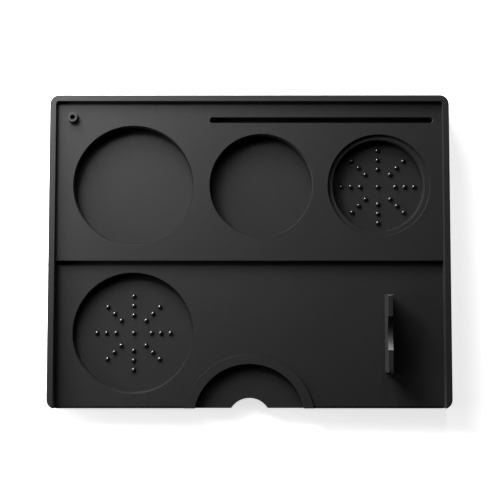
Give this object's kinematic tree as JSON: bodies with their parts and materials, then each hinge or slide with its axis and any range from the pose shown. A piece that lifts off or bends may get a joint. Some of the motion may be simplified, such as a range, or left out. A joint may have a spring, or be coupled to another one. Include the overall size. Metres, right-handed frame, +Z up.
{
  "type": "tamper mat",
  "caption": "Black moulded silicone tamping mat with a raised rim, round recesses, studs, a slot, a spout notch and an upright handle rest.",
  "frame": {"origin": "middle of the flat underside", "axes": "+X to the right and +Y to the back as the mat lies in use, +Z up"},
  "size_m": [0.3, 0.2346, 0.035],
  "materials": {
    "silicone": "matte"
  },
  "bodies": {
    "root": {"mat": "silicone"}
  },
  "joints": []
}
